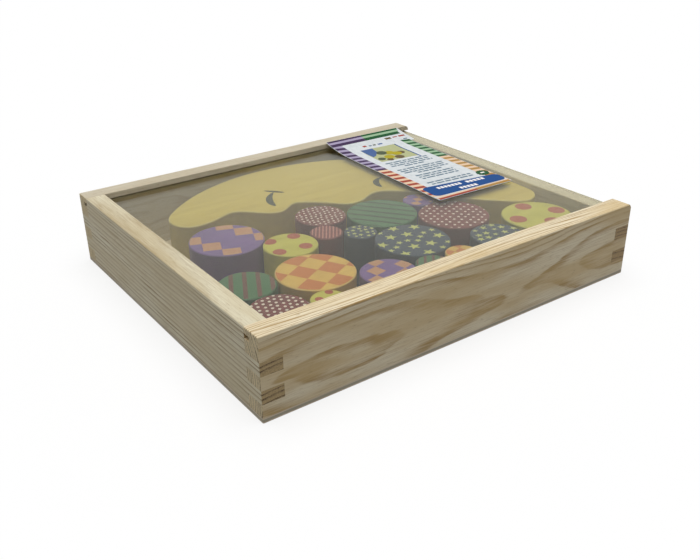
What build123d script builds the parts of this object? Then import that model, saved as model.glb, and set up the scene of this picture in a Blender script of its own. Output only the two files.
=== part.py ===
"""A wooden balance game: a crescent moon rocker and its round blocks, packed flat in a pine box.

Millimetres, +Z up. The origin is on the underside of the box, at the middle of its length and width.
X runs along the long front panel, Y from the front panel to the back panel. The clear lid slides out
along +X.
"""

import os
from collections import namedtuple
from math import atan2, ceil, cos, hypot, radians, sin, sqrt

from build123d import *

os.makedirs("parts", exist_ok=True)

# Box
wall = 14.0
base_thickness = 3.0
top_finger = 15.0
lower_fingers = 4
edge_ease = 0.8
open_end_round = 3.5
right_room = 10.5
back_room = 2.0

# Sliding lid
lid_thickness = 2.5
lid_depth = 4.0
lid_play = 0.2
groove_depth = 5.0
lid_side_play = 0.5
lid_edge_ease = 0.3
lid_end_inset = 4.0
headroom = 3.5

# Card on the lid
card_width = 70.0
card_length = 149.0
card_thickness = 0.4
card_corner = 1.5
card_tab_width = 4.0
card_tab_length = 26.0
card_turn_angle = -2.0
card_rim_lap = 0.5
card_bend = 40.0
card_from_right = 38.9
card_gap = 0.1
card_rim_gap = 0.25

# Loose pieces
piece_thickness = 39.0
piece_gap = 0.6
disc_ease = 0.6
large_radius = 24.5
medium_radius = 17.75
small_radius = 11.0

# Moon rocker
moon_radius = 138.0
moon_ease = 1.2
moon_side_gap = 0.8
moon_block_gap = 2.4
moon_left_angle = 134.0
moon_right_angle = -4.0

# Spaces left between neighbours in the front row of discs
orange_to_purple_space = 1.0
purple_to_green_space = 0.5
green_to_orange_space = 1.5
orange_to_navy_space = 8.4
navy_to_yellow_space = 3.0

# Directions, in degrees from +X, in which a disc leans on one neighbour only
yellow_bearing_angle = 78.0
purple_bearing_angle = 133.0
red_bearing_angle = 89.0

# The rocker's inner edge is a wavy cradle for the blocks, from the right tip to the left one, given
# from the centre of the outer arc, in shares of that arc's radius
cradle_shares = [
    (0.993, -0.152),
    (0.946, -0.228),
    (0.862, -0.254),
    (0.775, -0.196),
    (0.674, -0.091),
    (0.576, 0.051),
    (0.471, 0.214),
    (0.391, 0.293),
    (0.326, 0.326),
    (0.261, 0.315),
    (0.152, 0.268),
    (0.094, 0.279),
    (0.022, 0.351),
    (-0.062, 0.428),
    (-0.123, 0.457),
    (-0.185, 0.424),
    (-0.246, 0.399),
    (-0.319, 0.438),
    (-0.388, 0.511),
    (-0.435, 0.540),
    (-0.504, 0.525),
    (-0.616, 0.489),
    (-0.703, 0.500),
    (-0.746, 0.551),
    (-0.754, 0.623),
]
cradle = [(moon_radius * across, moon_radius * along) for across, along in cradle_shares]

# Plan of the loose pieces, measured from the inner corner at the front and left
Disc = namedtuple("Disc", "x y radius")


def in_corner(radius):
    """A disc against the left and the front panel."""
    return Disc(piece_gap + radius, piece_gap + radius, radius)


def reach(first, radius, space=0.0):
    """Distance between the centres of a placed disc and a new one beside it."""
    return first.radius + radius + piece_gap + space


def in_front_row(previous, radius, space=0.0):
    """A disc against the front panel, to the right of the previous one."""
    y = piece_gap + radius
    return Disc(previous.x + sqrt(reach(previous, radius, space) ** 2 - (y - previous.y) ** 2), y, radius)


def up_left_wall(previous, radius):
    """A disc against the left panel, behind the previous one."""
    x = piece_gap + radius
    return Disc(x, previous.y + sqrt(reach(previous, radius) ** 2 - (x - previous.x) ** 2), radius)


def leaning(first, bearing, radius):
    """A disc beside one other, in the direction of a bearing in degrees."""
    run = reach(first, radius)
    return Disc(first.x + run * cos(radians(bearing)), first.y + run * sin(radians(bearing)), radius)


def nestled(first, second, radius):
    """A disc that touches two others, on the left of the way from the first to the second."""
    apart = hypot(second.x - first.x, second.y - first.y)
    near, far = reach(first, radius), reach(second, radius)
    run = (near**2 - far**2 + apart**2) / (2 * apart)
    rise = sqrt(near**2 - run**2)
    turn = atan2(second.y - first.y, second.x - first.x)
    x = first.x + run * cos(turn) - rise * sin(turn)
    y = first.y + run * sin(turn) + rise * cos(turn)
    return Disc(x, y, radius)


discs = {}
discs["disc_red_dots_corner"] = in_corner(medium_radius)
discs["disc_green_medium"] = up_left_wall(discs["disc_red_dots_corner"], medium_radius)
discs["disc_yellow_small"] = in_front_row(discs["disc_red_dots_corner"], small_radius)
discs["disc_orange_large"] = nestled(
    discs["disc_green_medium"], discs["disc_yellow_small"], large_radius
)
discs["disc_purple_medium"] = in_front_row(
    discs["disc_orange_large"], medium_radius, orange_to_purple_space
)
discs["disc_green_small"] = in_front_row(
    discs["disc_purple_medium"], small_radius, purple_to_green_space
)
discs["disc_orange_small"] = in_front_row(
    discs["disc_green_small"], small_radius, green_to_orange_space
)
discs["disc_navy_medium"] = in_front_row(
    discs["disc_orange_small"], medium_radius, orange_to_navy_space
)
discs["disc_yellow_large"] = in_front_row(
    discs["disc_navy_medium"], large_radius, navy_to_yellow_space
)
discs["disc_navy_large"] = nestled(
    discs["disc_green_small"], discs["disc_orange_small"], large_radius
)
discs["disc_red_large"] = leaning(discs["disc_navy_medium"], red_bearing_angle, large_radius)
discs["disc_green_large"] = nestled(
    discs["disc_navy_large"], discs["disc_red_large"], large_radius
)
discs["disc_purple_small"] = nestled(
    discs["disc_green_large"], discs["disc_red_large"], small_radius
)
discs["disc_navy_small"] = nestled(discs["disc_navy_large"], discs["disc_green_large"], small_radius)
discs["disc_yellow_medium"] = leaning(
    discs["disc_orange_large"], yellow_bearing_angle, medium_radius
)
discs["disc_purple_large"] = leaning(
    discs["disc_yellow_medium"], purple_bearing_angle, large_radius
)
discs["disc_red_small"] = nestled(
    discs["disc_yellow_medium"], discs["disc_navy_small"], small_radius
)
discs["disc_red_medium"] = nestled(discs["disc_red_small"], discs["disc_green_large"], medium_radius)


def rocker_behind(disc, x):
    """How far back the rocker's centre has to be, at a place x, for its cradle to clear one disc."""
    away = disc.radius + moon_block_gap
    beside = [(x + across - disc.x, along) for across, along in cradle if abs(x + across - disc.x) < away]
    return max((disc.y + sqrt(away**2 - dx**2) - along for dx, along in beside), default=0.0)


# The rocker lies behind the blocks with its right side by the right panel, and the box is as large
# inside as its contents need, in whole millimetres
front_row_end = discs["disc_yellow_large"].x + large_radius
moon_left_reach = -min(across for across, along in cradle)
moon_length = moon_left_reach + moon_radius
inner_length = ceil(max(front_row_end + right_room, moon_length + 2 * moon_side_gap))
moon_x = inner_length - moon_side_gap - moon_radius
moon_y = max(rocker_behind(disc, moon_x) for disc in discs.values())
inner_width = ceil(moon_y + moon_radius + back_room)
frame_height = piece_thickness + headroom + lid_thickness + lid_depth

box_length = inner_length + 2 * wall
box_width = inner_width + 2 * wall

# Levels and faces that the pieces share
rim_height = base_thickness + frame_height
lid_top = rim_height - lid_depth
lid_bottom = lid_top - lid_thickness
groove_bottom = lid_bottom - lid_play
groove_height = lid_thickness + 2 * lid_play
inner_left = -inner_length / 2
inner_right = inner_length / 2
inner_front = -inner_width / 2
inner_back = inner_width / 2

# Finger joints: the long panels have the top finger and every second one below it
finger = (frame_height - top_finger) / lower_fingers
end_finger_rows = [(base_thickness + finger * row, finger) for row in range(1, lower_fingers, 2)]
long_finger_rows = [(base_thickness + finger * row, finger) for row in range(0, lower_fingers, 2)]
long_finger_rows.append((rim_height - top_finger, top_finger))


def long_panel(side):
    """Front (-1) or back (+1) panel, with its lid groove open at both ends."""
    middle = side * (box_width - wall) / 2
    groove_middle = side * (box_width / 2 - wall + groove_depth / 2)
    with BuildPart() as panel:
        with BuildSketch(Plane.XY.offset(base_thickness)):
            with Locations((0, middle)):
                Rectangle(box_length, wall)
        extrude(amount=frame_height)
        fillet(panel.faces().sort_by(Axis.Z)[-1].edges().sort_by(Axis.X)[-1], open_end_round)
        # The outer face is eased all round but below, and the closed end only along its top
        outer = panel.faces().sort_by(Axis.Y)[0 if side < 0 else -1]
        closed_end_top = panel.faces().sort_by(Axis.Z)[-1].edges().sort_by(Axis.X)[:1]
        fillet(outer.edges().sort_by(Axis.Z)[1:] + closed_end_top, edge_ease)
        for bottom, height in end_finger_rows:
            with BuildSketch(Plane.XY.offset(bottom)):
                with GridLocations(box_length, box_width, 2, 1):
                    Rectangle(2 * wall, 2 * box_width)
            extrude(amount=height, mode=Mode.SUBTRACT)
        with BuildSketch(Plane.XY.offset(groove_bottom)):
            with Locations((0, groove_middle)):
                Rectangle(2 * box_length, groove_depth)
        extrude(amount=groove_height, mode=Mode.SUBTRACT)
    return panel.part


def end_panel(side, top):
    """Left (-1) or right (+1) panel up to the level top, with fingers that fill the long panels' notches."""
    middle = side * (box_length - wall) / 2
    with BuildPart() as panel:
        with BuildSketch(Plane.XY.offset(base_thickness)):
            with Locations((middle, 0)):
                Rectangle(wall, box_width)
        extrude(amount=top - base_thickness)
        outer = panel.faces().sort_by(Axis.X)[0 if side < 0 else -1]
        fillet(outer.edges().filter_by(Axis.Z), edge_ease)
        for bottom, height in long_finger_rows:
            with BuildSketch(Plane.XY.offset(bottom)):
                with GridLocations(box_length, box_width, 1, 2):
                    Rectangle(2 * box_length, 2 * wall)
            extrude(amount=height, mode=Mode.SUBTRACT)
        fillet(panel.faces().sort_by(Axis.Z)[-1].edges().filter_by(Axis.Y), edge_ease)
    return panel.part


front_panel = long_panel(-1)
front_panel.label = "front_panel"
export_step(front_panel, "parts/front_panel.step")

back_panel = long_panel(1)
back_panel.label = "back_panel"
export_step(back_panel, "parts/back_panel.step")

# The left panel closes the far end of the lid groove
with BuildPart() as left_end_panel:
    add(end_panel(-1, rim_height))
    with BuildSketch(Plane.XY.offset(groove_bottom)):
        with Locations((inner_left - groove_depth / 2, 0)):
            Rectangle(groove_depth, 2 * box_width)
    extrude(amount=groove_height, mode=Mode.SUBTRACT)
left_end_panel.part.label = "left_end_panel"
export_step(left_end_panel.part, "parts/left_end_panel.step")

# The right panel stops below the groove, so the lid passes over it
with BuildPart() as right_end_panel:
    add(end_panel(1, groove_bottom))
right_end_panel.part.label = "right_end_panel"
export_step(right_end_panel.part, "parts/right_end_panel.step")

with BuildPart() as base_board:
    with BuildSketch(Plane.XY):
        RectangleRounded(box_length, box_width, edge_ease)
    extrude(amount=base_thickness)
base_board.part.label = "base_board"
export_step(base_board.part, "parts/base_board.step")

# Clear sheet that runs in the grooves of three panels and ends over the top of the fourth
lid_left = inner_left - groove_depth + lid_side_play
lid_right = box_length / 2 - lid_end_inset
lid_half_width = box_width / 2 - wall + groove_depth - lid_side_play
with BuildPart() as clear_lid:
    with BuildSketch(Plane.XY.offset(lid_bottom)):
        with Locations(((lid_left + lid_right) / 2, 0)):
            Rectangle(lid_right - lid_left, 2 * lid_half_width)
    extrude(amount=lid_thickness)
    chamfer(clear_lid.edges(), lid_edge_ease)
clear_lid.part.label = "clear_lid"
export_step(clear_lid.part, "parts/clear_lid.step")

# The card lies on the lid, and its back end bends up to rest on the inner edge of the back rim
card_rise = lid_depth + card_rim_gap - card_gap
card_pivot = (box_length / 2 - wall - card_from_right, inner_back, rim_height + card_rim_gap)
card_plan = Plane(origin=card_pivot).rotated((0, 0, card_turn_angle))
card_side = Plane(origin=card_pivot, x_dir=-card_plan.y_dir, z_dir=-card_plan.x_dir)
card_front = card_length - card_rim_lap
card_lap_rise = 2 * card_rise / card_bend * card_rim_lap
with BuildPart() as label_card:
    with BuildSketch(card_side):
        with BuildLine():
            for level in (0, card_thickness):
                low = level - card_rise
                Line((-card_rim_lap, level + card_lap_rise), (0, level))
                Bezier((0, level), (card_bend / 2, low), (card_bend, low))
                Line((card_bend, low), (card_front, low))
            Line((-card_rim_lap, card_lap_rise), (-card_rim_lap, card_lap_rise + card_thickness))
            Line((card_front, -card_rise), (card_front, card_thickness - card_rise))
        make_face()
    extrude(amount=card_width, both=True)
    with BuildSketch(card_plan) as card_outline:
        with Locations((0, card_rim_lap - card_length / 2)):
            Rectangle(card_width, card_length)
        with Locations(((card_width + card_tab_width) / 2, card_rim_lap - card_tab_length / 2)):
            Rectangle(card_tab_width, card_tab_length)
        fillet(card_outline.vertices(), card_corner)
    extrude(amount=2 * lid_depth, both=True, mode=Mode.INTERSECT)
label_card.part.label = "label_card"
export_step(label_card.part, "parts/label_card.step")


def on_arc(angle):
    """The point of the rocker's outer arc at an angle in degrees from +X."""
    return (moon_radius * cos(radians(angle)), moon_radius * sin(radians(angle)))


def along_arc(angle):
    """The arc's direction at an angle, taken clockwise."""
    return (sin(radians(angle)), -cos(radians(angle)))


with BuildPart() as moon_rocker:
    with BuildSketch(Plane((inner_left + moon_x, inner_front + moon_y, base_thickness))):
        with BuildLine():
            middle = (moon_left_angle + moon_right_angle) / 2
            ThreePointArc(on_arc(moon_left_angle), on_arc(middle), on_arc(moon_right_angle))
            Spline(
                on_arc(moon_right_angle),
                *cradle,
                on_arc(moon_left_angle),
                tangents=(along_arc(moon_right_angle), along_arc(moon_left_angle)),
                tangent_scalars=(1.0, 1.0),
            )
        make_face()
    extrude(amount=piece_thickness)
    fillet(moon_rocker.edges().filter_by(Plane.XY), moon_ease)
moon_rocker.part.label = "moon_rocker"
export_step(moon_rocker.part, "parts/moon_rocker.step")

for name, disc in discs.items():
    with BuildPart() as block:
        with BuildSketch(Plane((inner_left + disc.x, inner_front + disc.y, base_thickness))):
            Circle(disc.radius)
        extrude(amount=piece_thickness)
        chamfer(block.edges().filter_by(GeomType.CIRCLE), disc_ease)
    block.part.label = name
    export_step(block.part, f"parts/{name}.step")
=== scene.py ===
"""Looks for a wooden balance game: a crescent rocker and round blocks in a pine box.

Metres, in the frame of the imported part: X along the long front panel, Y to the back, Z up. Patterns
are drawn in millimetres from the middle of the piece that they are printed on.
"""

import logging
import math
import random
from dataclasses import dataclass
from enum import Enum
from typing import Optional, Protocol, Union

import bmesh
import bpy
import numpy as np
from mathutils import Matrix, Vector
from mathutils.bvhtree import BVHTree


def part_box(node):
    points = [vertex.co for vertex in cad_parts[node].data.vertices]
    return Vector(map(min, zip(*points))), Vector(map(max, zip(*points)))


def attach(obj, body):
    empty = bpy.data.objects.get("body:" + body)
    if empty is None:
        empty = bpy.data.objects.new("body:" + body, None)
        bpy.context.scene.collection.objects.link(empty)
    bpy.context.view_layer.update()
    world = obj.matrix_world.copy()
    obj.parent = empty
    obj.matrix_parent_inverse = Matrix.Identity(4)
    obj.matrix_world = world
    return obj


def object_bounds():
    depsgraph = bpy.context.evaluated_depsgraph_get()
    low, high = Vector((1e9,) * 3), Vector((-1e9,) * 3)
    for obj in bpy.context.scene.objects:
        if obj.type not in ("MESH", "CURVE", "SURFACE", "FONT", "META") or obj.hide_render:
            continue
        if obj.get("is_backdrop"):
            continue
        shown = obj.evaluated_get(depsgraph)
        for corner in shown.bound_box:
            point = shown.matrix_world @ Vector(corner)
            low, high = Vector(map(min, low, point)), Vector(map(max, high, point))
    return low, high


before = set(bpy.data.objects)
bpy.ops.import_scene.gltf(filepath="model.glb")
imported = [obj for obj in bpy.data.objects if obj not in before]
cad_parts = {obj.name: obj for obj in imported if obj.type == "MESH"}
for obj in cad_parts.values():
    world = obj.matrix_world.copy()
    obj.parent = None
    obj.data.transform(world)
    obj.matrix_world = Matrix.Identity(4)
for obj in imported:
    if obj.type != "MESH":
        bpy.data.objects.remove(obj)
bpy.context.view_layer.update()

log = logging.getLogger("balance_game")

MM = 0.001
FACE_WEIGHT = 100
STAR_POINTS = 5
STAR_TURN = 360 / STAR_POINTS

Point = tuple[float, float]
Span = tuple[float, float]
Polygon = list[Point]
Colour = tuple[float, float, float, float]
Value = Union[float, tuple, list, bpy.types.NodeSocket]


def linear(hex_colour: str) -> Colour:
    """Turns an sRGB colour into the linear values that a shader takes.

    Args:
        hex_colour: The colour as "#RRGGBB".

    Returns:
        Red, green, blue and a full alpha.
    """
    shares = [int(hex_colour[i : i + 2], 16) / 255 for i in (1, 3, 5)]
    red, green, blue = (s / 12.92 if s <= 0.04045 else ((s + 0.055) / 1.055) ** 2.4 for s in shares)
    return red, green, blue, 1.0


def add_node(
    tree: bpy.types.NodeTree,
    kind: str,
    inputs: Optional[dict[Union[int, str], Value]] = None,
    **settings: object,
) -> bpy.types.NodeSocket:
    """Adds one node with its settings and links.

    Args:
        tree: The node tree to add to.
        kind: The node's type, such as "ShaderNodeMath".
        inputs: A value or a socket for each input, by name or by place among those in use.
        settings: The node's own settings, such as operation="ADD".

    Returns:
        The node's first output in use; the others are reached through its node.
    """
    node = tree.nodes.new(kind)
    for name, value in settings.items():
        setattr(node, name, value)
    used = [socket for socket in node.inputs if socket.enabled]
    for key, value in (inputs or {}).items():
        socket = used[key] if isinstance(key, int) else next(s for s in used if s.name == key)
        if isinstance(value, bpy.types.NodeSocket):
            tree.links.new(value, socket)
        else:
            socket.default_value = value
    return next((socket for socket in node.outputs if socket.enabled), None)


def new_material(name: str) -> tuple[bpy.types.Material, bpy.types.NodeTree]:
    """Makes an empty node material.

    Args:
        name: The material's name.

    Returns:
        The material and its node tree.
    """
    material = bpy.data.materials.new(name)
    material.use_nodes = True
    material.node_tree.nodes.clear()
    return material, material.node_tree


class Grain(Enum):
    """The axis of the part that a piece's fibres run along."""

    ALONG_X = 0
    ALONG_Y = 1


@dataclass(frozen=True)
class Flecks:
    """Noise that is drawn out along one axis of a piece, as fibres are. The length and the width of
    one fleck are in millimetres, and the detail is how many finer layers it has. Real fibres and
    pores are finer than a render shows, so theirs are drawn as coarse as they need to be."""

    length: float
    width: float
    seed: float
    detail: float
    roughness: float = 0.6

    def noise(
        self, tree: bpy.types.NodeTree, grain: Grain, shift: float = 0.0
    ) -> bpy.types.NodeSocket:
        """Adds the noise.

        Args:
            tree: The node tree to add to.
            grain: The axis that the flecks run along.
            shift: Moves the pattern, so that no two pieces share it.

        Returns:
            A factor from 0 to 1, mostly near 0.5.
        """
        place = add_node(tree, "ShaderNodeTexCoord").node.outputs["Object"]
        scale = [1 / (MM * self.width)] * 3
        scale[grain.value] = 1 / (MM * self.length)
        start = shift + self.seed
        moved = add_node(
            tree,
            "ShaderNodeMapping",
            {"Vector": place, "Location": (start, -start, start / 2), "Scale": scale},
        )
        return add_node(
            tree,
            "ShaderNodeTexNoise",
            {"Vector": moved, "Scale": 1.0, "Detail": self.detail, "Roughness": self.roughness},
        )


def blended(
    tree: bpy.types.NodeTree, noise: bpy.types.NodeSocket, span: Span, main: str, other: str
) -> bpy.types.NodeSocket:
    """Blends two colours by a noise.

    Args:
        tree: The node tree to add to.
        noise: The noise.
        span: The noise up to which only the main colour shows, and from which only the other does.
        main: The main colour, as "#RRGGBB".
        other: The other colour.

    Returns:
        The blended colour.
    """
    share = add_node(
        tree, "ShaderNodeMapRange", {"Value": noise, "From Min": span[0], "From Max": span[1]}
    )
    return add_node(
        tree,
        "ShaderNodeMix",
        {"Factor": share, "A": linear(main), "B": linear(other)},
        data_type="RGBA",
    )


def on_eased_edge(tree: bpy.types.NodeTree, slope: float, spread: float) -> bpy.types.NodeSocket:
    """Finds the eased edge between a level face and an upright side.

    Args:
        tree: The node tree to add to.
        slope: How far up the middle of the edge faces, from 0 for sideways to 1 for straight up.
        spread: How far from that still counts as the edge.

    Returns:
        1 on the edge and 0 elsewhere.
    """
    facing = add_node(tree, "ShaderNodeTexCoord").node.outputs["Normal"]
    upward = add_node(tree, "ShaderNodeSeparateXYZ", {0: facing}).node.outputs["Z"]
    upward = add_node(tree, "ShaderNodeMath", {0: upward}, operation="ABSOLUTE")
    return add_node(tree, "ShaderNodeMath", {0: upward, 1: slope, 2: spread}, operation="COMPARE")


class Finish(Protocol):
    """What a piece is made of and how its surface was made."""

    @property
    def name(self) -> str:
        """The material's name."""

    def material(self) -> bpy.types.Material:
        """Builds the material."""


@dataclass(frozen=True)
class PlanedPine:
    """Pine, planed and sanded, left bare: pale earlywood between thin tan latewood lines, a dull
    sheen, and end grain that drinks light and reads much darker.

    Sizes are in millimetres. The pith is the middle of the log, from the middle of the part. The
    figure is how far the rings swing in and out along the board, the drift is how many degrees the
    pith leans, and the warp, the ripple and the unevenness are how far the rings stray.
    """

    name: str
    grain: Grain
    pith_across: float
    pith_up: float
    seed: float
    ring: float = 2.2
    figure: float = 2.0
    figure_at: float = 0.0
    figure_length: float = 260.0
    drift: float = 0.6
    warp: float = 5.0
    ripple: float = 1.0
    unevenness: float = 4.5
    uneven_scale: float = 0.12
    contrast: float = 0.75
    lowest_line: float = 0.35
    line_sharpness: float = 1.6
    stain: float = 0.7
    earlywood: str = "#EBDDB4"
    latewood: str = "#C8A972"
    blush: str = "#D9BE8C"
    pore: str = "#9C8156"
    end_early: str = "#C2A87C"
    end_late: str = "#5E4A30"
    ior: float = 1.45
    roughness: Span = (0.5, 0.68)
    relief: float = 0.12
    relief_strength: float = 0.35
    fibres: Flecks = Flecks(length=24.0, width=0.7, seed=0.0, detail=4.0)
    pores: Flecks = Flecks(length=6.0, width=0.6, seed=3.0, detail=2.0)
    weak_lines: Flecks = Flecks(length=45.0, width=6.0, seed=5.0, detail=2.0)
    patches: Flecks = Flecks(length=110.0, width=17.0, seed=7.0, detail=2.0)
    bends: Flecks = Flecks(length=85.0, width=26.0, seed=11.0, detail=2.0)
    kinks: Flecks = Flecks(length=16.0, width=5.0, seed=17.0, detail=1.0)

    def material(self) -> bpy.types.Material:
        """Builds the board's solid wood, so that every face shows the rings that it cuts.

        Returns:
            The material.
        """
        material, tree = new_material(self.name)
        fibre = self.fibres.noise(tree, self.grain, self.seed)
        pores = self.pores.noise(tree, self.grain, self.seed)
        line = self._lines(tree, fibre)
        pitted = add_node(
            tree,
            "ShaderNodeMapRange",
            {"Value": pores, "From Min": 0.60, "From Max": 0.72, "To Max": 0.5},
        )
        long_wood = self._long_wood(tree, line, pitted)
        end_wood = add_node(
            tree,
            "ShaderNodeMix",
            {"Factor": line, "A": linear(self.end_early), "B": linear(self.end_late)},
            data_type="RGBA",
        )
        flat = add_node(tree, "ShaderNodeNewGeometry").node.outputs["True Normal"]
        colour = add_node(
            tree,
            "ShaderNodeMix",
            {"Factor": self._end_share(tree, flat), "A": long_wood, "B": end_wood},
            data_type="RGBA",
        )
        smooth, rough = self.roughness
        roughness = add_node(
            tree,
            "ShaderNodeMapRange",
            {"Value": fibre, "From Min": 0.3, "From Max": 0.7, "To Min": smooth, "To Max": rough},
        )
        height = add_node(tree, "ShaderNodeMath", {0: line, 1: pitted}, operation="SUBTRACT")
        bump = add_node(
            tree,
            "ShaderNodeBump",
            {
                "Height": height,
                "Normal": flat,
                "Strength": self.relief_strength,
                "Distance": self.relief * MM,
            },
        )
        surface = add_node(
            tree,
            "ShaderNodeBsdfPrincipled",
            {"Base Color": colour, "Roughness": roughness, "IOR": self.ior, "Normal": bump},
        )
        add_node(tree, "ShaderNodeOutputMaterial", {"Surface": surface})
        return material

    def _lines(self, tree: bpy.types.NodeTree, fibre: bpy.types.NodeSocket) -> bpy.types.NodeSocket:
        """Adds the latewood lines, which darken slowly through each ring and end sharply.

        Args:
            tree: The node tree to add to.
            fibre: The fibres' noise, which frays the lines.

        Returns:
            How strongly a line shows, from 0 to 1.
        """
        in_ring = self._rings(tree)
        rise = add_node(
            tree,
            "ShaderNodeMapRange",
            {"Value": in_ring, "From Min": 0.3, "From Max": 0.86},
            interpolation_type="SMOOTHSTEP",
        )
        fall = add_node(
            tree,
            "ShaderNodeMapRange",
            {"Value": in_ring, "From Min": 0.88, "From Max": 1.0, "To Min": 1.0, "To Max": 0.0},
            interpolation_type="SMOOTHSTEP",
        )
        late = add_node(tree, "ShaderNodeMath", {0: rise, 1: fall}, operation="MULTIPLY")
        late = add_node(
            tree, "ShaderNodeMath", {0: late, 1: self.line_sharpness}, operation="POWER"
        )
        weak = add_node(
            tree,
            "ShaderNodeMapRange",
            {
                "Value": self.weak_lines.noise(tree, self.grain, self.seed),
                "From Min": 0.35,
                "From Max": 0.65,
                "To Min": self.lowest_line,
            },
        )
        late = add_node(tree, "ShaderNodeMath", {0: late, 1: weak}, operation="MULTIPLY")
        frayed = add_node(
            tree,
            "ShaderNodeMapRange",
            {"Value": fibre, "From Min": 0.3, "From Max": 0.7, "To Min": -0.3, "To Max": 0.4},
        )
        return add_node(
            tree, "ShaderNodeMath", {0: late, 1: frayed}, operation="ADD", use_clamp=True
        )

    def _long_wood(
        self, tree: bpy.types.NodeTree, line: bpy.types.NodeSocket, pitted: bpy.types.NodeSocket
    ) -> bpy.types.NodeSocket:
        """Adds the colour of the faces along the fibres.

        Args:
            tree: The node tree to add to.
            line: How strongly a latewood line shows.
            pitted: How strongly a pore shows.

        Returns:
            The colour.
        """
        shown = add_node(tree, "ShaderNodeMath", {0: line, 1: self.contrast}, operation="MULTIPLY")
        stained = add_node(
            tree,
            "ShaderNodeMapRange",
            {
                "Value": self.patches.noise(tree, self.grain, self.seed),
                "From Min": 0.42,
                "From Max": 0.66,
                "To Max": self.stain,
            },
        )
        wood = linear(self.earlywood)
        for share, tint in ((shown, self.latewood), (stained, self.blush), (pitted, self.pore)):
            wood = add_node(
                tree,
                "ShaderNodeMix",
                {"Factor": share, "A": wood, "B": linear(tint)},
                data_type="RGBA",
            )
        return wood

    def _end_share(
        self, tree: bpy.types.NodeTree, flat: bpy.types.NodeSocket
    ) -> bpy.types.NodeSocket:
        """Finds the faces that are cut across the fibres.

        Args:
            tree: The node tree to add to.
            flat: The way that the face looks.

        Returns:
            1 on end grain and 0 on the other faces.
        """
        fibre_axis = [0.0, 0.0, 0.0]
        fibre_axis[self.grain.value] = 1.0
        facing = add_node(
            tree, "ShaderNodeVectorMath", {0: flat, 1: fibre_axis}, operation="DOT_PRODUCT"
        ).node.outputs["Value"]
        facing = add_node(tree, "ShaderNodeMath", {0: facing}, operation="ABSOLUTE")
        return add_node(
            tree, "ShaderNodeMapRange", {"Value": facing, "From Min": 0.55, "From Max": 0.8}
        )

    def _rings(self, tree: bpy.types.NodeTree) -> bpy.types.NodeSocket:
        """Adds growth rings around a pith line beside the board.

        Args:
            tree: The node tree to add to.

        Returns:
            The place within a ring, from 0 where it starts to 1 where it ends.
        """
        along = self.grain.value
        to_pith = [0.0, 0.0, -self.pith_up]
        to_pith[1 - along] = -self.pith_across
        across = [1.0, 1.0, 1.0]
        across[along] = 0.0
        lean = [0.0, 0.0, 0.0]
        lean[1 - along] = math.radians(self.drift)
        place = add_node(tree, "ShaderNodeTexCoord").node.outputs["Object"]
        place = add_node(
            tree,
            "ShaderNodeMapping",
            {"Vector": place, "Location": to_pith, "Rotation": lean, "Scale": [1 / MM] * 3},
        )
        section = add_node(
            tree, "ShaderNodeVectorMath", {0: place, 1: across}, operation="MULTIPLY"
        )
        radius = add_node(
            tree, "ShaderNodeVectorMath", {0: section}, operation="LENGTH"
        ).node.outputs["Value"]
        for flecks, reach in ((self.bends, self.warp), (self.kinks, self.ripple)):
            stray = flecks.noise(tree, self.grain, self.seed)
            radius = add_node(
                tree, "ShaderNodeMath", {0: stray, 1: reach, 2: radius}, operation="MULTIPLY_ADD"
            )
        uneven = add_node(
            tree,
            "ShaderNodeTexNoise",
            {"W": radius, "Scale": self.uneven_scale, "Detail": 1.0},
            noise_dimensions="1D",
        )
        length = add_node(tree, "ShaderNodeSeparateXYZ", {0: place}).node.outputs[along]
        turn = 2 * math.pi / self.figure_length
        phase = add_node(
            tree,
            "ShaderNodeMath",
            {0: length, 1: turn, 2: -turn * self.figure_at},
            operation="MULTIPLY_ADD",
        )
        swing = add_node(tree, "ShaderNodeMath", {0: phase}, operation="COSINE")
        for stray, reach in ((uneven, self.unevenness), (swing, self.figure)):
            radius = add_node(
                tree, "ShaderNodeMath", {0: stray, 1: reach, 2: radius}, operation="MULTIPLY_ADD"
            )
        rings = add_node(tree, "ShaderNodeMath", {0: radius, 1: self.ring}, operation="DIVIDE")
        return add_node(tree, "ShaderNodeMath", {0: rings}, operation="FRACT")


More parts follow.
